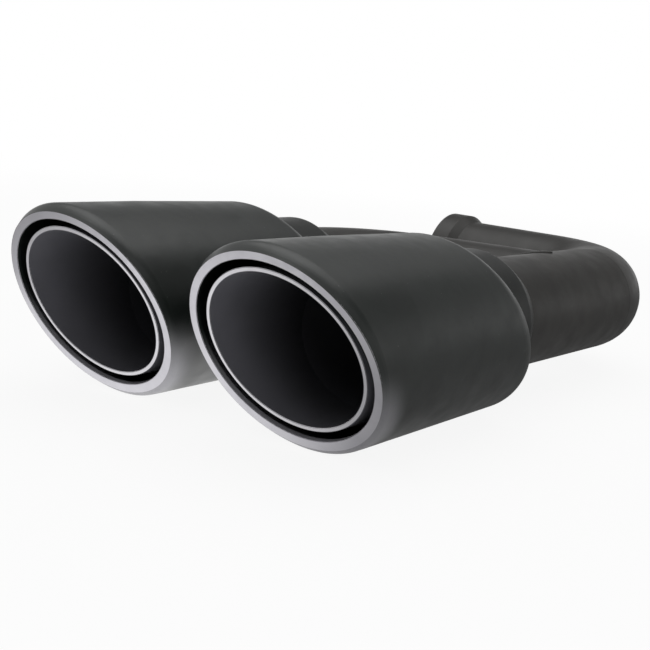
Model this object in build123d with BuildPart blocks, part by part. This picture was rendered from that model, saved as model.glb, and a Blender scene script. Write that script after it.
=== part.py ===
from build123d import *
import os
from math import cos, sin, tan, radians

# Twin tailpipe tip. Millimetres, +Z up, mouths toward -Y.
# The origin is the centre of the inlet's open end, and the inlet faces -X.

# Pipes
PIPE_D = 57.0
PIPE_WALL = 1.5
BEND_R = 44.0
INLET_LEG = 70.5

# Inlet socket, swaged out to slip over the car's own pipe
SOCKET_BORE_D = 61.0
SOCKET_LEN = 11.0
SOCKET_FLARE = 5.0

# Barrels
TIP_SPACING = 108.0
SHELL_W = 94.0
SHELL_H = 88.6
SHELL_WALL = 1.6
SHELL_LEN = 137.0
SHELL_STRAIGHT = 30.0
SHELL_TAPER = 0.8
SLASH = 28.0
MOUTH_TO_BEND = 280.0

# Lip of each mouth, rolled in from the barrel to a flat ring round the opening.
# Tops and bottoms are measured along the slope.
LIP_SIDE = 0.8
LIP_TOP = 4.2
LIP_BOTTOM = 2.2
LIP_DEPTH = 3.0
LIP_ROUND = 6.0
LIP_THICK = 2.2
RING_FACE_SIDE = 3.6
RING_FACE_TOP = 3.8
RING_FACE_BOTTOM = 4.6

# Slanted rear end of each barrel, with its soft corner
REAR_SLANT = 37.0
REAR_ROUND = 15.0

# Liner, set in from the ring's opening by a gap
LINER_GAP_SIDE = 4.1
LINER_GAP_SLOPE = 4.2
LINER_WALL = 1.6
LINER_RECESS = 1.3
LINER_STRAIGHT = 62.0
LINER_CONE = 28.0
SLEEVE_LEN = 14.0

# Collar that closes each barrel on its pipe
COLLAR_D = 69.0
COLLAR_WALL = 1.8
COLLAR_START = 98.0
COLLAR_LEN = 48.0
COLLAR_TAPER = 12.0
COLLAR_ROUND = 5.0

# Branch pipe
BRANCH_BEND_R = 57.0
BRANCH_TURN = 78.0
BRANCH_RUN = 161.0

# Clearance left at each welded seat
WELD_GAP = 0.1

pipe_r = PIPE_D / 2
bore_r = pipe_r - PIPE_WALL
seat_r = pipe_r + WELD_GAP
socket_r = SOCKET_BORE_D / 2
collar_r = COLLAR_D / 2
main_x = INLET_LEG + BEND_R
branch_x = main_x - TIP_SPACING
mouth_y = -BEND_R - MOUTH_TO_BEND
slash = radians(SLASH)
slant = radians(REAR_SLANT)
RING_OPEN_W = SHELL_W - 2 * (LIP_SIDE + RING_FACE_SIDE)
RING_OPEN_H = SHELL_H / cos(slash) - LIP_TOP - LIP_BOTTOM - RING_FACE_TOP - RING_FACE_BOTTOM
RING_OPEN_DROP = (LIP_TOP + RING_FACE_TOP - LIP_BOTTOM - RING_FACE_BOTTOM) / 2
LINER_W = RING_OPEN_W - 2 * LINER_GAP_SIDE
LINER_H = (RING_OPEN_H - 2 * LINER_GAP_SLOPE) * cos(slash)
pipe_front = LINER_STRAIGHT + LINER_CONE
to_left = Location((-TIP_SPACING, 0, 0))


def slash_plane(back):
    """Plane of the slash cut, moved back along the right barrel's axis, facing out of the mouth."""
    return Plane(
        origin=(main_x, mouth_y + back, 0),
        x_dir=(1, 0, 0),
        z_dir=(0, -cos(slash), -sin(slash)),
    )


def slant_plane(back):
    """Plane of a barrel's slanted rear end, facing the mouth."""
    return Plane(
        origin=(main_x, mouth_y + back, 0),
        x_dir=(1, 0, 0),
        z_dir=(0, -cos(slant), -sin(slant)),
    )


def upright_plane(back, axis_x=main_x):
    """Plane square to a barrel's axis, facing the rear."""
    return Plane(origin=(axis_x, mouth_y + back, 0), x_dir=(-1, 0, 0), z_dir=(0, 1, 0))


# Lip's envelope: widens from the ring's outer edge, and passes the barrel's size at the lip's depth
ring_r_across = SHELL_W / 2 - LIP_SIDE
ring_r_slope = (SHELL_H / cos(slash) - LIP_TOP - LIP_BOTTOM) / 2
ring_drop = (LIP_TOP - LIP_BOTTOM) / 2
lip_reach = (SHELL_LEN + SHELL_H) / LIP_DEPTH
with BuildPart() as lip_space:
    with BuildSketch(slash_plane(0)):
        with Locations((0, -ring_drop)):
            Ellipse(ring_r_across, ring_r_slope)
    with BuildSketch(slash_plane(lip_reach * LIP_DEPTH / cos(slash))):
        Ellipse(
            ring_r_across + lip_reach * (SHELL_W / 2 - ring_r_across),
            ring_r_slope + lip_reach * (SHELL_H / 2 / cos(slash) - ring_r_slope),
        )
    loft(ruled=True)

# Space inside a barrel: the barrel's own form, one wall smaller
taper_loss = (SHELL_LEN + SHELL_H - SHELL_STRAIGHT) * tan(radians(SHELL_TAPER))
rear_r_across = SHELL_W / 2 - taper_loss
rear_r_slant = (SHELL_H / 2 - taper_loss) / cos(slant)
rear_room = rear_r_across ** 2 / rear_r_slant * tan((radians(90) - slant) / 2)
rear_round = min(REAR_ROUND, rear_room - SHELL_WALL)
with BuildPart() as shell_space:
    with BuildSketch(upright_plane(-SHELL_H)):
        Ellipse(SHELL_W / 2 - SHELL_WALL, SHELL_H / 2 - SHELL_WALL)
    extrude(amount=SHELL_H + SHELL_STRAIGHT)
    with BuildSketch(upright_plane(SHELL_STRAIGHT)):
        Ellipse(SHELL_W / 2 - SHELL_WALL, SHELL_H / 2 - SHELL_WALL)
    with BuildSketch(upright_plane(SHELL_LEN + SHELL_H)):
        Ellipse(SHELL_W / 2 - SHELL_WALL - taper_loss, SHELL_H / 2 - SHELL_WALL - taper_loss)
    loft()
    split(bisect_by=slant_plane(SHELL_LEN - SHELL_WALL / cos(slant)), keep=Keep.TOP)
    fillet(shell_space.edges().group_by(Axis.Y)[-1], rear_round - SHELL_WALL)
    add(lip_space.part.moved(Location((0, LIP_THICK / cos(slash), 0))), mode=Mode.INTERSECT)

# Barrel: oval body with a soft slanted rear end, and a lip rolled in to a flat ring
eighth = radians(45)
lip_corner = (
    main_x - SHELL_W / 2 * cos(eighth),
    mouth_y + LIP_DEPTH / cos(slash) - SHELL_H / 2 * sin(eighth) * tan(slash),
    SHELL_H / 2 * sin(eighth),
)
with BuildPart() as right_shell:
    with BuildSketch(upright_plane(-SHELL_H)):
        Ellipse(SHELL_W / 2, SHELL_H / 2)
    extrude(amount=SHELL_H + SHELL_STRAIGHT)
    with BuildSketch(upright_plane(SHELL_STRAIGHT)):
        Ellipse(SHELL_W / 2, SHELL_H / 2)
    with BuildSketch(upright_plane(SHELL_LEN + SHELL_H)):
        Ellipse(SHELL_W / 2 - taper_loss, SHELL_H / 2 - taper_loss)
    loft()
    split(bisect_by=slant_plane(SHELL_LEN), keep=Keep.TOP)
    fillet(right_shell.edges().group_by(Axis.Y)[-1], rear_round)
    add(lip_space.part, mode=Mode.INTERSECT)
    fillet(right_shell.edges().sort_by_distance(lip_corner)[0], LIP_ROUND)
    add(shell_space.part, mode=Mode.SUBTRACT)
    with BuildSketch(slash_plane(0)):
        with Locations((0, -RING_OPEN_DROP)):
            Ellipse(RING_OPEN_W / 2, RING_OPEN_H / 2)
    extrude(amount=-2 * LIP_THICK, mode=Mode.SUBTRACT)
    with BuildSketch(upright_plane(COLLAR_START)):
        Circle(collar_r + WELD_GAP)
    extrude(amount=SHELL_LEN, mode=Mode.SUBTRACT)

with BuildPart() as left_shell:
    add(right_shell.part.moved(to_left))

# Space inside a liner: oval, then a cone down to the seat on the pipe's front end
with BuildPart() as liner_space:
    with BuildSketch(upright_plane(-LINER_H)):
        Ellipse(LINER_W / 2 - LINER_WALL, LINER_H / 2 - LINER_WALL)
    extrude(amount=LINER_STRAIGHT + LINER_H)
    with BuildSketch(upright_plane(LINER_STRAIGHT)):
        Ellipse(LINER_W / 2 - LINER_WALL, LINER_H / 2 - LINER_WALL)
    with BuildSketch(upright_plane(pipe_front)):
        Circle(seat_r)
    loft()
    with BuildSketch(upright_plane(pipe_front)):
        Circle(seat_r)
    extrude(amount=SLEEVE_LEN)

# Liner: inner tube of the double wall, slashed in line with the ring
with BuildPart() as right_liner:
    with BuildSketch(upright_plane(-LINER_H)):
        Ellipse(LINER_W / 2, LINER_H / 2)
    extrude(amount=LINER_STRAIGHT + LINER_H)
    split(bisect_by=slash_plane(LINER_RECESS / cos(slash)), keep=Keep.BOTTOM)
    with BuildSketch(upright_plane(LINER_STRAIGHT)):
        Ellipse(LINER_W / 2, LINER_H / 2)
    with BuildSketch(upright_plane(pipe_front)):
        Circle(seat_r + LINER_WALL)
    loft()
    with BuildSketch(upright_plane(pipe_front)):
        Circle(seat_r + LINER_WALL)
    extrude(amount=SLEEVE_LEN)
    add(liner_space.part, mode=Mode.SUBTRACT)

with BuildPart() as left_liner:
    add(right_liner.part.moved(to_left))

# Collar: round sleeve in the barrel's rear, drawn down onto the pipe
collar_flat = COLLAR_START + COLLAR_LEN
collar_tip = collar_flat + COLLAR_TAPER
with BuildPart() as right_collar:
    with BuildSketch(Plane(origin=(main_x, mouth_y, 0), x_dir=(0, 1, 0), z_dir=(0, 0, 1))):
        with BuildLine():
            Polyline(
                (COLLAR_START, -collar_r + COLLAR_WALL),
                (COLLAR_START, -collar_r),
                (collar_flat, -collar_r),
                (collar_tip, -seat_r - COLLAR_WALL / 2),
                (collar_tip, -seat_r),
                (collar_flat + COLLAR_TAPER / 2, -seat_r),
                (collar_flat - COLLAR_WALL, -collar_r + COLLAR_WALL),
                close=True,
            )
        make_face()
        fillet(vertices().sort_by_distance((collar_flat, -collar_r))[0], COLLAR_ROUND)
    revolve(axis=Axis((main_x, 0, 0), (0, 1, 0)))

with BuildPart() as left_collar:
    add(right_collar.part.moved(to_left))

# Branch pipe's route: straight out of the left barrel, then a bend across to the main pipe
turn = radians(BRANCH_TURN)
bend_end_x = branch_x + BRANCH_BEND_R * (1 - cos(turn))
bend_end_y = mouth_y + BRANCH_RUN + BRANCH_BEND_R * sin(turn)
port_y = bend_end_y + (main_x - bend_end_x) / tan(turn)
port_plane = Plane(origin=(main_x, port_y, 0), x_dir=(0, 0, 1), z_dir=(-sin(turn), -cos(turn), 0))

# Main pipe: straight out of the right barrel, with the port for the branch
with BuildPart() as main_pipe:
    with BuildSketch(upright_plane(pipe_front)):
        Circle(pipe_r)
        Circle(bore_r, mode=Mode.SUBTRACT)
    extrude(amount=MOUTH_TO_BEND - pipe_front - WELD_GAP)
    with BuildSketch(port_plane):
        Circle(bore_r)
    extrude(amount=PIPE_D, mode=Mode.SUBTRACT)

# Elbow from the main pipe to the inlet
with BuildPart() as main_elbow:
    with BuildLine() as elbow_route:
        JernArc((main_x, -BEND_R), (0, 1), BEND_R, 90)
    with BuildSketch(upright_plane(MOUTH_TO_BEND)):
        Circle(pipe_r)
        Circle(bore_r, mode=Mode.SUBTRACT)
    sweep(path=elbow_route.wire())

# Inlet pipe, with its end swaged out as a socket
socket_end = SOCKET_LEN + SOCKET_FLARE
with BuildPart() as inlet_pipe:
    with BuildSketch(Plane.XY):
        with BuildLine():
            Polyline(
                (0, socket_r),
                (SOCKET_LEN, socket_r),
                (socket_end, bore_r),
                (INLET_LEG - WELD_GAP, bore_r),
                (INLET_LEG - WELD_GAP, pipe_r),
                (socket_end, pipe_r),
                (SOCKET_LEN, socket_r + PIPE_WALL),
                (0, socket_r + PIPE_WALL),
                close=True,
            )
        make_face()
    revolve(axis=Axis.X)

# Left pipe: straight out of the left barrel
with BuildPart() as left_pipe:
    with BuildSketch(upright_plane(pipe_front, branch_x)):
        Circle(pipe_r)
        Circle(bore_r, mode=Mode.SUBTRACT)
    extrude(amount=BRANCH_RUN - pipe_front - WELD_GAP)

# Elbow from the left pipe to the branch
with BuildPart() as branch_elbow:
    with BuildLine() as branch_route:
        JernArc((branch_x, mouth_y + BRANCH_RUN), (0, 1), BRANCH_BEND_R, -BRANCH_TURN)
    with BuildSketch(upright_plane(BRANCH_RUN, branch_x)):
        Circle(pipe_r)
        Circle(bore_r, mode=Mode.SUBTRACT)
    sweep(path=branch_route.wire())

# Branch pipe: across to the main pipe, fish-mouthed onto it
branch_len = (main_x - bend_end_x) / sin(turn)
with BuildPart() as branch_pipe:
    with BuildSketch(port_plane):
        Circle(pipe_r)
        Circle(bore_r, mode=Mode.SUBTRACT)
    extrude(amount=branch_len - WELD_GAP)
    with BuildSketch(upright_plane(BRANCH_RUN)):
        Circle(seat_r)
    extrude(amount=MOUTH_TO_BEND - BRANCH_RUN, mode=Mode.SUBTRACT)

os.makedirs("parts", exist_ok=True)

right_shell.part.label = "right_shell"
export_step(right_shell.part, "parts/right_shell.step")
left_shell.part.label = "left_shell"
export_step(left_shell.part, "parts/left_shell.step")
right_liner.part.label = "right_liner"
export_step(right_liner.part, "parts/right_liner.step")
left_liner.part.label = "left_liner"
export_step(left_liner.part, "parts/left_liner.step")
right_collar.part.label = "right_collar"
export_step(right_collar.part, "parts/right_collar.step")
left_collar.part.label = "left_collar"
export_step(left_collar.part, "parts/left_collar.step")
main_pipe.part.label = "main_pipe"
export_step(main_pipe.part, "parts/main_pipe.step")
main_elbow.part.label = "main_elbow"
export_step(main_elbow.part, "parts/main_elbow.step")
inlet_pipe.part.label = "inlet_pipe"
export_step(inlet_pipe.part, "parts/inlet_pipe.step")
left_pipe.part.label = "left_pipe"
export_step(left_pipe.part, "parts/left_pipe.step")
branch_elbow.part.label = "branch_elbow"
export_step(branch_elbow.part, "parts/branch_elbow.step")
branch_pipe.part.label = "branch_pipe"
export_step(branch_pipe.part, "parts/branch_pipe.step")
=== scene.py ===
import bpy
import bmesh
from math import cos, sin, tan, pi, radians
from mathutils import Matrix, Vector


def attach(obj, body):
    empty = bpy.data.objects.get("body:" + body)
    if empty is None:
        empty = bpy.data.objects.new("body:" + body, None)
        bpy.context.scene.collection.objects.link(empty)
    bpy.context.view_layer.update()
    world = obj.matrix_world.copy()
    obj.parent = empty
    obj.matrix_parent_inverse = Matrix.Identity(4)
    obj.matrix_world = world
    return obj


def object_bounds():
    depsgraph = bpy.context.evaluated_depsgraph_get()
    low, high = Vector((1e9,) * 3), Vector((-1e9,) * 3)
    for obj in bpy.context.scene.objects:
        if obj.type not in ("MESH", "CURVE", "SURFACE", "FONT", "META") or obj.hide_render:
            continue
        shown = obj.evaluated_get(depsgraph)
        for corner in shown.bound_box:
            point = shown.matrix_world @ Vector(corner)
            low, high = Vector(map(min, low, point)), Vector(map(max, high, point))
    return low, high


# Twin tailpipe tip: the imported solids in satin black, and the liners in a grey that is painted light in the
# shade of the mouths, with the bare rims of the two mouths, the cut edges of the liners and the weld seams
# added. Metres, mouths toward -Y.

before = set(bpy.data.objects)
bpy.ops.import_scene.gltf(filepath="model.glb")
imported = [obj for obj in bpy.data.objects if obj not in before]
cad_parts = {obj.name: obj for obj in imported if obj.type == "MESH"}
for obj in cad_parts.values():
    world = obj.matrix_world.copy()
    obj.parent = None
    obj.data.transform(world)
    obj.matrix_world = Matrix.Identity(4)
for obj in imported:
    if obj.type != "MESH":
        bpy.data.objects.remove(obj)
cad_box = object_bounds()

MM = 0.001

# Where the barrels and pipes are
MAIN_X = 114.5 * MM
BRANCH_X = 6.5 * MM
MOUTH_Y = -324.0 * MM
SLASH = radians(28.0)
PIPE_R = 28.5 * MM
COLLAR_TIP = 158.0 * MM
MAIN_RUN = 280.0 * MM
INLET_LEG = 70.5 * MM
BRANCH_RUN = 161.0 * MM
BRANCH_BEND_R = 57.0 * MM
BRANCH_TURN = radians(78.0)
BEND_END_X = BRANCH_X + BRANCH_BEND_R * (1 - cos(BRANCH_TURN))
BEND_END_Y = MOUTH_Y + BRANCH_RUN + BRANCH_BEND_R * sin(BRANCH_TURN)
PORT_Y = BEND_END_Y + (MAIN_X - BEND_END_X) / tan(BRANCH_TURN)

# Flat ring of a mouth: half sizes across and up the slope, and how far its centre drops down the slope
RING_OPEN = (42.6 * MM, 42.77 * MM, 0.6 * MM)
RING_OUTER = (46.2 * MM, 46.97 * MM, 1.0 * MM)
RING_LAP = 0.06 * MM
RING_PROUD = 0.03 * MM
RING_SINK = 0.4 * MM
RING_BEVEL = 0.25 * MM
RING_STEPS = 256
RING_SHARP = radians(30)

# Bare low part of a barrel's lip: where it thins behind the mouth and with height, and its share of steel
LIP_BARE = (1.0 * MM, 16.0 * MM)
LIP_BARE_LOW = (-32.0 * MM, 3.0 * MM)
LIP_BARE_SHARE = 0.7
LIP_STEEL = (0.56, 0.55, 0.59)

# Soot and painted shade in a liner: where the darkening starts and where it is darkest behind the mouth, and
# its share there
SOOT_AND_SHADE = (5.0 * MM, 62.0 * MM)
SOOT_AND_SHADE_SHARE = 0.85
SOOT_AND_SHADE_BLACK = (0.010, 0.010, 0.011)

# Grain of the coats and the bare steel: grains a metre, detail and, for the brush, stretch
CLOUDS = (38, 5)
CLOUD_STOPS = (0.35, 0.68)
SHEEN = (90, 6)
PEEL = (1400, 3)
PEEL_STRENGTH = 0.35
STEEL_TONE = (55, 4)
STEEL_STOPS = (0.3, 0.7)
STEEL_SHEEN = (300, 5)
STEEL_BRUSH = (2200, 4, (1, 0.12, 0.12))
BRUSH_STRENGTH = 0.25
GRAIN_DEPTH = 0.02 * MM
NOISE_RANGE = (0.3, 0.7)

# Dust specks: cells a metre, radius, and the share of the cells that have one
DUST = (500, 0.18 * MM, 0.06)
DUST_GREY = (0.14, 0.14, 0.14)

# Cut edge of a liner
LINER_WALL = 1.6 * MM
LINER_OUTER = (38.5 * MM, 34.06 * MM / cos(SLASH), 0)
LINER_INNER = (LINER_OUTER[0] - LINER_WALL, LINER_OUTER[1] - LINER_WALL / cos(SLASH), 0)
LINER_BACK = 1.3 * MM

# Weld beads, and the section of a ground seam in millimetres: along the pipe and above its outside
SEAM_R = 1.0 * MM
SEAM_RIPPLE = 0.12
SEAM_STEPS = 480
SEAM_SIDES = 10
SEAM_SHARP = radians(50)
SEAM_UPRIGHT = 0.1
COLLAR_RIPPLES = 90
PORT_RIPPLES = 110
GROUND_SEAM = (
    (-1.0, -0.4),
    (-1.0, -0.03),
    (-0.7, 0.012),
    (-0.6, 0.013),
    (0, 0.018),
    (0.6, 0.013),
    (0.7, 0.012),
    (1.0, -0.03),
    (1.0, -0.4),
)

# Floor, and how it is seen: the distances from the origin between which its own shade fades into white,
# and the shares of white there
FLOOR_HALF = 4.0
FLOOR_GRAIN = (3, 2)
FLOOR_DARK = (0.90, 0.90, 0.90)
FLOOR_LIGHT = (0.92, 0.92, 0.92)
FLOOR_ROUGH = 0.9
FLOOR_SEEN = (0.4, 1.2, 0.9, 1.0)

# Reflections: start, end and the strengths there, by distance on the floor and by direction in the world
PATCH_X = 0.0
PATCH_BACK = 20.0 * MM
PATCH = (0.06, 0.17, 1.0, 0.22)
FRONT = (0.0, 0.7, 0.6, 0.0)
FRONT_RIGHT = (0.0, 0.6, 1.0, 0.2)
HORIZON = (0.05, 0.5, 1.0, 0.13)
HORIZON_RIGHT = (-0.2, 0.5, 1.0, 0.4)
SOFT_LIGHT = 0.5

# Camera at the photo's angle, measured from the right mouth's centre
CAMERA_FROM_MOUTH = Vector((281.0, -373.8, 100.7)) * MM
CAMERA_HEADING = radians(35.02)
CAMERA_PITCH = radians(-10.67)
CAMERA_ROLL = radians(5.75)
SENSOR = 36.0
LENS = 68.1
CLIP_START = 10.0 * MM

ACROSS = (1, 0, 0)
BACK = (0, 1, 0)
UP = (0, 0, 1)


def new_material(name):
    """Material with a Principled shader, its node tree and that shader."""
    mat = bpy.data.materials.new(name)
    mat.use_nodes = True
    tree = mat.node_tree
    tree.nodes.clear()
    out = tree.nodes.new("ShaderNodeOutputMaterial")
    shader = tree.nodes.new("ShaderNodeBsdfPrincipled")
    tree.links.new(shader.outputs["BSDF"], out.inputs["Surface"])
    return mat, tree, shader


def noise(tree, scale, detail, stretch=(1, 1, 1)):
    """Noise in the row frame, at so many grains a metre."""
    place = tree.nodes.new("ShaderNodeTexCoord")
    mapping = tree.nodes.new("ShaderNodeMapping")
    mapping.inputs["Scale"].default_value = stretch
    tree.links.new(place.outputs["Object"], mapping.inputs["Vector"])
    node = tree.nodes.new("ShaderNodeTexNoise")
    node.inputs["Scale"].default_value = scale
    node.inputs["Detail"].default_value = detail
    tree.links.new(mapping.outputs["Vector"], node.inputs["Vector"])
    return node.outputs["Fac"]


def ramp(tree, value, *stops):
    """Colour by value: stops are (place, colour)."""
    node = tree.nodes.new("ShaderNodeValToRGB")
    elements = node.color_ramp.elements
    while len(elements) < len(stops):
        elements.new(0.5)
    for element, (place, colour) in zip(elements, stops):
        element.position = place
        element.color = (*colour, 1)
    tree.links.new(value, node.inputs["Fac"])
    return node.outputs["Color"]


def mapped(tree, value, start, end, low, high, easing):
    """Value taken from low at the start to high at the end."""
    node = tree.nodes.new("ShaderNodeMapRange")
    node.interpolation_type = easing
    node.inputs["From Min"].default_value = start
    node.inputs["From Max"].default_value = end
    node.inputs["To Min"].default_value = low
    node.inputs["To Max"].default_value = high
    tree.links.new(value, node.inputs["Value"])
    return node.outputs["Result"]


def spread(tree, value, low, high):
    """Noise spread evenly from low to high."""
    return mapped(tree, value, *NOISE_RANGE, low, high, "LINEAR")


def graded(tree, value, start, end, low, high):
    """Value eased from low at the start to high at the end."""
    return mapped(tree, value, start, end, low, high, "SMOOTHSTEP")


def along(tree, vector, direction):
    """How far a vector goes in a direction."""
    node = tree.nodes.new("ShaderNodeVectorMath")
    node.operation = "DOT_PRODUCT"
    node.inputs[1].default_value = direction
    tree.links.new(vector, node.inputs[0])
    return node.outputs["Value"]


def combined(tree, operation, one, two):
    """Two values put together by a Math node."""
    node = tree.nodes.new("ShaderNodeMath")
    node.operation = operation
    tree.links.new(one, node.inputs[0])
    tree.links.new(two, node.inputs[1])
    return node.outputs["Value"]


def product(tree, one, two):
    """Two values multiplied."""
    return combined(tree, "MULTIPLY", one, two)


def either(tree, one, two):
    """The larger of two values."""
    return combined(tree, "MAXIMUM", one, two)


def below(tree, value, limit):
    """1 where a value is below a limit, and 0 elsewhere."""
    node = tree.nodes.new("ShaderNodeMath")
    node.operation = "LESS_THAN"
    node.inputs[1].default_value = limit
    tree.links.new(value, node.inputs[0])
    return node.outputs["Value"]


def bump(tree, shader, height, strength):
    """Fine relief on the shader's normal."""
    node = tree.nodes.new("ShaderNodeBump")
    node.inputs["Strength"].default_value = strength
    node.inputs["Distance"].default_value = GRAIN_DEPTH
    tree.links.new(height, node.inputs["Height"])
    tree.links.new(node.outputs["Normal"], shader.inputs["Normal"])


def specks(tree, scale, size, share):
    """1 on sparse round specks and 0 elsewhere: so many cells a metre, and a share of them with a speck."""
    place = tree.nodes.new("ShaderNodeTexCoord")
    cells = tree.nodes.new("ShaderNodeTexVoronoi")
    cells.inputs["Scale"].default_value = scale
    tree.links.new(place.outputs["Object"], cells.inputs["Vector"])
    chance = tree.nodes.new("ShaderNodeSeparateColor")
    tree.links.new(cells.outputs["Color"], chance.inputs["Color"])
    return product(
        tree,
        below(tree, cells.outputs["Distance"], size * scale),
        below(tree, chance.outputs["Red"], share),
    )


def tinted(tree, shader, share, colour):
    """Mixes a share of another colour into the shader's own."""
    mix = tree.nodes.new("ShaderNodeMix")
    mix.data_type = "RGBA"
    mix.inputs["B"].default_value = (*colour, 1)
    tree.links.new(share, mix.inputs["Factor"])
    tree.links.new(shader.inputs["Base Color"].links[0].from_socket, mix.inputs["A"])
    tree.links.new(mix.outputs["Result"], shader.inputs["Base Color"])


def coating(name, dark, light, rough_low, rough_high, specular=0.5):
    """Satin black heat coating: cloudy tone, uneven sheen, faint orange peel and a few dust specks."""
    mat, tree, shader = new_material(name)
    tone = ramp(tree, noise(tree, *CLOUDS), *zip(CLOUD_STOPS, (dark, light)))
    tree.links.new(tone, shader.inputs["Base Color"])
    tinted(tree, shader, specks(tree, *DUST), DUST_GREY)
    tree.links.new(spread(tree, noise(tree, *SHEEN), rough_low, rough_high), shader.inputs["Roughness"])
    shader.inputs["Specular IOR Level"].default_value = specular
    bump(tree, shader, noise(tree, *PEEL), PEEL_STRENGTH)
    return mat


def behind_mouth(tree, start, end, low, high):
    """Value eased from low to high between two distances behind the plane of the mouths."""
    place = tree.nodes.new("ShaderNodeTexCoord").outputs["Object"]
    mouth = MOUTH_Y * cos(SLASH)
    depth = along(tree, place, (0, cos(SLASH), sin(SLASH)))
    return graded(tree, depth, mouth + start, mouth + end, low, high)


def bare_low_lip(mat):
    """Lets bare steel show through a barrel's coat on the low part of its lip."""
    tree = mat.node_tree
    shader = tree.nodes["Principled BSDF"]
    place = tree.nodes.new("ShaderNodeTexCoord").outputs["Object"]
    near = behind_mouth(tree, *LIP_BARE, LIP_BARE_SHARE, 0)
    bare = product(tree, near, graded(tree, along(tree, place, UP), *LIP_BARE_LOW, 1, 0))
    tinted(tree, shader, bare, LIP_STEEL)
    tree.links.new(bare, shader.inputs["Metallic"])


def sooty_and_shaded(mat):
    """Darkens a liner's coat deeper in, with soot and painted shade of the recess."""
    tree = mat.node_tree
    shader = tree.nodes["Principled BSDF"]
    # Soot and painted shade: the coat goes toward black with depth behind the mouth, as shade falls in the
    # recess.
    tinted(tree, shader, behind_mouth(tree, *SOOT_AND_SHADE, 0, SOOT_AND_SHADE_SHARE), SOOT_AND_SHADE_BLACK)


def bare_steel(name, dark, light, rough_low, rough_high):
    """Bare cut steel: a fine lengthwise brush and a slight change of tone along it."""
    mat, tree, shader = new_material(name)
    tone = ramp(tree, noise(tree, *STEEL_TONE), *zip(STEEL_STOPS, (dark, light)))
    tree.links.new(tone, shader.inputs["Base Color"])
    shader.inputs["Metallic"].default_value = 1.0
    tree.links.new(
        spread(tree, noise(tree, *STEEL_SHEEN), rough_low, rough_high), shader.inputs["Roughness"]
    )
    bump(tree, shader, noise(tree, *STEEL_BRUSH), BRUSH_STRENGTH)
    return mat


shell_coat = coating("satin_black_shell", (0.0045, 0.0080, 0.0063), (0.0085, 0.0130, 0.0107), 0.34, 0.45, 1.0)
bare_low_lip(shell_coat)
collar_coat = coating("satin_black_collar", (0.0065, 0.0082, 0.0072), (0.011, 0.013, 0.0115), 0.39, 0.50, 0.6)
# The liners' grey is painted light: lighter than a black coat, it stands in for light in the shade of the
# mouths.
liner_coat_painted_light = coating("liner_grey_painted_light", (0.135, 0.135, 0.152), (0.150, 0.150, 0.169), 0.36, 0.42)
sooty_and_shaded(liner_coat_painted_light)
pipe_coat = coating("satin_black_pipe", (0.0145, 0.0135, 0.0115), (0.0225, 0.021, 0.018), 0.39, 0.51, 0.65)
rim_steel = bare_steel("bare_rim_steel", (0.62, 0.61, 0.65), (0.72, 0.71, 0.75), 0.40, 0.50)
edge_steel = bare_steel("bare_edge_steel", (0.66, 0.65, 0.68), (0.76, 0.75, 0.78), 0.30, 0.40)

node_coats = {
    "right_shell": shell_coat,
    "left_shell": shell_coat,
    "right_liner": liner_coat_painted_light,
    "left_liner": liner_coat_painted_light,
    "right_collar": collar_coat,
    "left_collar": collar_coat,
    "main_pipe": pipe_coat,
    "main_elbow": pipe_coat,
    "inlet_pipe": pipe_coat,
    "left_pipe": pipe_coat,
    "branch_elbow": pipe_coat,
    "branch_pipe": pipe_coat,
}
for node, coat in node_coats.items():
    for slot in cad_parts[node].material_slots:
        slot.material = coat


def add_piece(name, rings, mat, sharp):
    """Piece through closed rings of points, the last joined to the first, smooth up to the sharp angle."""
    bm = bmesh.new()
    rings = [[bm.verts.new(point) for point in ring] for ring in rings]
    for one, two in zip(rings, rings[1:] + rings[:1]):
        count = len(one)
        for step in range(count):
            after = (step + 1) % count
            bm.faces.new((one[step], one[after], two[after], two[step]))
    bmesh.ops.recalc_face_normals(bm, faces=bm.faces)
    mesh = bpy.data.meshes.new(name)
    bm.to_mesh(mesh)
    bm.free()
    mesh.shade_smooth()
    mesh.set_sharp_from_angle(angle=sharp)
    mesh.materials.append(mat)
    piece = bpy.data.objects.new(name, mesh)
    bpy.context.collection.objects.link(piece)
    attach(piece, "root")


def slash_frame(axis_x, back):
    """Matrix of the slash plane: X across, Y up the slope, Z out of the mouth."""
    across = Vector(ACROSS)
    up = Vector((0, -sin(SLASH), cos(SLASH)))
    out = Vector((0, -cos(SLASH), -sin(SLASH)))
    place = Vector((axis_x, MOUTH_Y + back / cos(SLASH), 0))
    turn = Matrix((across, up, out)).transposed().to_4x4()
    return Matrix.Translation(place) @ turn


def oval_ring(name, place, outer, inner, mat):
    """Flat oval ring with softened edges, lapped over the edges of the cut that it lies on."""
    section = (
        (outer, RING_LAP, -RING_SINK),
        (outer, RING_LAP, RING_PROUD - RING_BEVEL),
        (outer, RING_LAP - RING_BEVEL, RING_PROUD),
        (inner, RING_BEVEL - RING_LAP, RING_PROUD),
        (inner, -RING_LAP, RING_PROUD - RING_BEVEL),
        (inner, -RING_LAP, -RING_SINK),
    )
    rings = []
    for (half_w, half_h, drop), grow, lift in section:
        ring = []
        for step in range(RING_STEPS):
            turn = 2 * pi * step / RING_STEPS
            point = Vector(((half_w + grow) * cos(turn), (half_h + grow) * sin(turn) - drop, lift))
            ring.append(place @ point)
        rings.append(ring)
    add_piece(name, rings, mat, RING_SHARP)


for side, axis_x in (("right", MAIN_X), ("left", BRANCH_X)):
    oval_ring(side + "_rim", slash_frame(axis_x, 0), RING_OUTER, RING_OPEN, rim_steel)
    oval_ring(side + "_liner_edge", slash_frame(axis_x, LINER_BACK), LINER_OUTER, LINER_INNER, edge_steel)


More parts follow.
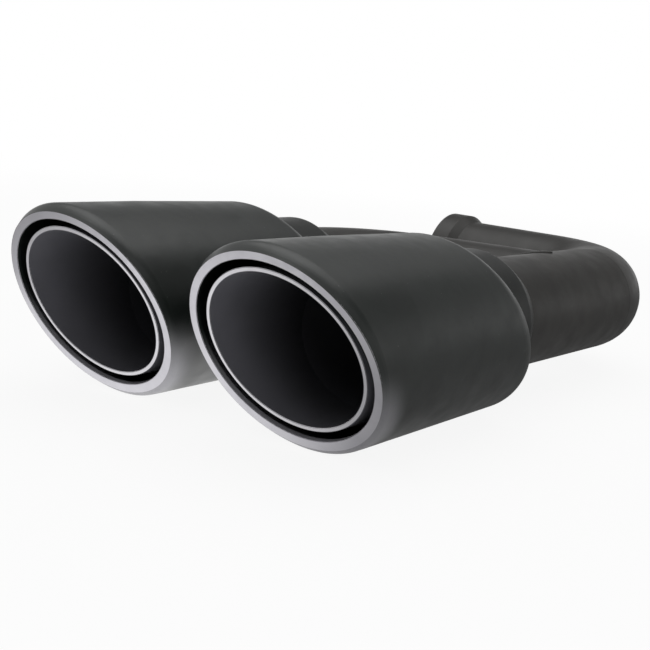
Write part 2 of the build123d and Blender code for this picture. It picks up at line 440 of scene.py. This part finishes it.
def seam(name, points, ripples):
    """Weld bead along a closed run of points, with the ripples of the weld pool."""
    count = len(points)
    rings = []
    for step in range(count):
        ahead = (points[(step + 1) % count] - points[step - 1]).normalized()
        side = ahead.cross(Vector(UP))
        if side.length < SEAM_UPRIGHT:
            side = ahead.cross(Vector(BACK))
        side.normalize()
        up = side.cross(ahead)
        phase = (ripples * step / count) % 1
        radius = SEAM_R * (1 - SEAM_RIPPLE * phase)
        ring = []
        for corner in range(SEAM_SIDES):
            turn = 2 * pi * corner / SEAM_SIDES
            ring.append(points[step] + radius * (cos(turn) * side + sin(turn) * up))
        rings.append(ring)
    add_piece(name, rings, pipe_coat, SEAM_SHARP)


def round_seam(centre, heading, radius):
    """Points round a pipe that runs that way, so many radians from +Y toward +X."""
    across = Vector((cos(heading), -sin(heading), 0))
    for step in range(SEAM_STEPS):
        turn = 2 * pi * step / SEAM_STEPS
        yield Vector(centre) + radius * (cos(turn) * across + sin(turn) * Vector(UP))


def port_seam():
    """Points round the fish mouth, where the branch pipe's wall meets the main pipe's."""
    ahead = Vector((sin(BRANCH_TURN), cos(BRANCH_TURN), 0))
    across = Vector((cos(BRANCH_TURN), -sin(BRANCH_TURN), 0))
    for step in range(SEAM_STEPS):
        turn = 2 * pi * step / SEAM_STEPS
        reach = (PIPE_R * abs(cos(turn)) + PIPE_R * cos(turn) * cos(BRANCH_TURN)) / sin(BRANCH_TURN)
        wall = PIPE_R * (cos(turn) * across + sin(turn) * Vector(UP))
        yield Vector((MAIN_X, PORT_Y, 0)) - reach * ahead + wall


for name, x in (("right_collar_seam", MAIN_X), ("left_collar_seam", BRANCH_X)):
    seam(name, list(round_seam((x, MOUTH_Y + COLLAR_TIP, 0), 0, PIPE_R)), COLLAR_RIPPLES)
seam("port_seam", list(port_seam()), PORT_RIPPLES)


def ground_seam(name, centre, heading):
    """Butt weld ground nearly flush: a shallow crowned band round the joint of two tubes."""
    ahead = Vector((sin(heading), cos(heading), 0))
    rings = [
        round_seam(Vector(centre) + shift * MM * ahead, heading, PIPE_R + rise * MM)
        for shift, rise in GROUND_SEAM
    ]
    add_piece(name, rings, pipe_coat, SEAM_SHARP)


ground_seam("main_elbow_seam", (MAIN_X, MOUTH_Y + MAIN_RUN, 0), 0)
ground_seam("inlet_seam", (INLET_LEG, 0, 0), pi / 2)
ground_seam("left_pipe_seam", (BRANCH_X, MOUTH_Y + BRANCH_RUN, 0), 0)
ground_seam("branch_seam", (BEND_END_X, BEND_END_Y, 0), BRANCH_TURN)

# Floor under the barrels, pale and plain
floor_z = cad_box[0][2]
floor_mesh = bpy.data.meshes.new("floor")
floor_mesh.from_pydata(
    [(x * FLOOR_HALF, y * FLOOR_HALF, floor_z) for x, y in ((-1, -1), (1, -1), (1, 1), (-1, 1))],
    [],
    [(0, 1, 2, 3)],
)
floor = bpy.data.objects.new("floor", floor_mesh)
bpy.context.collection.objects.link(floor)
floor_mat, floor_tree, floor_shader = new_material("pale_floor")
floor_tree.links.new(
    ramp(floor_tree, noise(floor_tree, *FLOOR_GRAIN), *zip(NOISE_RANGE, (FLOOR_DARK, FLOOR_LIGHT))),
    floor_shader.inputs["Base Color"],
)
floor_shader.inputs["Roughness"].default_value = FLOOR_ROUGH
floor_mesh.materials.append(floor_mat)


def blended(tree, fac, one, two):
    """Mix of two shaders."""
    node = tree.nodes.new("ShaderNodeMixShader")
    tree.links.new(fac, node.inputs["Fac"])
    tree.links.new(one, node.inputs[1])
    tree.links.new(two, node.inputs[2])
    return node.outputs["Shader"]


# The floor is seen as white, with a part of its own shade left in near the object, which keeps the shadow.
# In reflections it is white between the mouths and dims away from there.
rays = floor_tree.nodes.new("ShaderNodeLightPath")
place = floor_tree.nodes.new("ShaderNodeTexCoord").outputs["Object"]
reach = floor_tree.nodes.new("ShaderNodeVectorMath")
reach.operation = "LENGTH"
floor_tree.links.new(place, reach.inputs[0])
white = floor_tree.nodes.new("ShaderNodeEmission")
kept = product(
    floor_tree, rays.outputs["Is Camera Ray"], graded(floor_tree, reach.outputs["Value"], *FLOOR_SEEN)
)
direct = blended(floor_tree, kept, floor_shader.outputs["BSDF"], white.outputs["Emission"])
away = floor_tree.nodes.new("ShaderNodeVectorMath")
away.operation = "DISTANCE"
away.inputs[1].default_value = (PATCH_X, MOUTH_Y + PATCH_BACK, floor_z)
floor_tree.links.new(place, away.inputs[0])
mirrored = floor_tree.nodes.new("ShaderNodeEmission")
floor_tree.links.new(graded(floor_tree, away.outputs["Value"], *PATCH), mirrored.inputs["Strength"])
reflected = either(floor_tree, rays.outputs["Is Glossy Ray"], rays.outputs["Is Transmission Ray"])
floor_tree.links.new(
    blended(floor_tree, reflected, direct, mirrored.outputs["Emission"]),
    floor_tree.nodes["Material Output"].inputs["Surface"],
)

# World: white to the camera and softer as light. In reflections its front is light, its rear is dim but for
# a white horizon, and both are darker on the right.
scene = bpy.context.scene
world = bpy.data.worlds.new("studio")
scene.world = world
world.use_nodes = True
tree = world.node_tree
tree.nodes.clear()
out = tree.nodes.new("ShaderNodeOutputWorld")
rays = tree.nodes.new("ShaderNodeLightPath")
seen = tree.nodes.new("ShaderNodeBackground")
seen.inputs["Color"].default_value = (1, 1, 1, 1)
seen.inputs["Strength"].default_value = 1.0
soft = tree.nodes.new("ShaderNodeBackground")
soft.inputs["Color"].default_value = (1, 1, 1, 1)
soft.inputs["Strength"].default_value = SOFT_LIGHT
place = tree.nodes.new("ShaderNodeTexCoord").outputs["Generated"]
front = product(
    tree,
    graded(tree, along(tree, place, BACK), *FRONT),
    graded(tree, along(tree, place, ACROSS), *FRONT_RIGHT),
)
horizon = product(
    tree,
    graded(tree, along(tree, place, UP), *HORIZON),
    graded(tree, along(tree, place, ACROSS), *HORIZON_RIGHT),
)
mirrored = tree.nodes.new("ShaderNodeBackground")
mirrored.inputs["Color"].default_value = (1, 1, 1, 1)
tree.links.new(either(tree, front, horizon), mirrored.inputs["Strength"])
reflected = either(tree, rays.outputs["Is Glossy Ray"], rays.outputs["Is Transmission Ray"])
direct = blended(tree, rays.outputs["Is Camera Ray"], soft.outputs["Background"], seen.outputs["Background"])
tree.links.new(
    blended(tree, reflected, direct, mirrored.outputs["Background"]), out.inputs["Surface"]
)

camera_data = bpy.data.cameras.new("camera")
camera_data.sensor_width = SENSOR
camera_data.lens = LENS
camera_data.clip_start = CLIP_START
camera = bpy.data.objects.new("camera", camera_data)
bpy.context.collection.objects.link(camera)
camera.matrix_world = (
    Matrix.Translation(Vector((MAIN_X, MOUTH_Y, 0)) + CAMERA_FROM_MOUTH)
    @ Matrix.Rotation(CAMERA_HEADING, 4, "Z")
    @ Matrix.Rotation(radians(90) + CAMERA_PITCH, 4, "X")
    @ Matrix.Rotation(CAMERA_ROLL, 4, "Z")
)
scene.camera = camera


def softbox(name, place, aim, size, power):
    """Square area lamp: its place and aim in metres, its side and its watts."""
    lamp = bpy.data.lights.new(name, "AREA")
    lamp.shape = "SQUARE"
    lamp.size = size
    lamp.energy = power
    box = bpy.data.objects.new(name, lamp)
    bpy.context.collection.objects.link(box)
    box.location = place
    box.rotation_euler = (Vector(aim) - Vector(place)).to_track_quat("-Z", "Y").to_euler()


softbox("top_softbox", (0.0, 0.0, 1.2), (0.06, -0.1, 0), 1.8, 8)
softbox("side_softbox", (1.2, -0.95, 0.45), (0.0, -0.3, 0), 0.4, 1.5)

scene.view_settings.view_transform = "Standard"
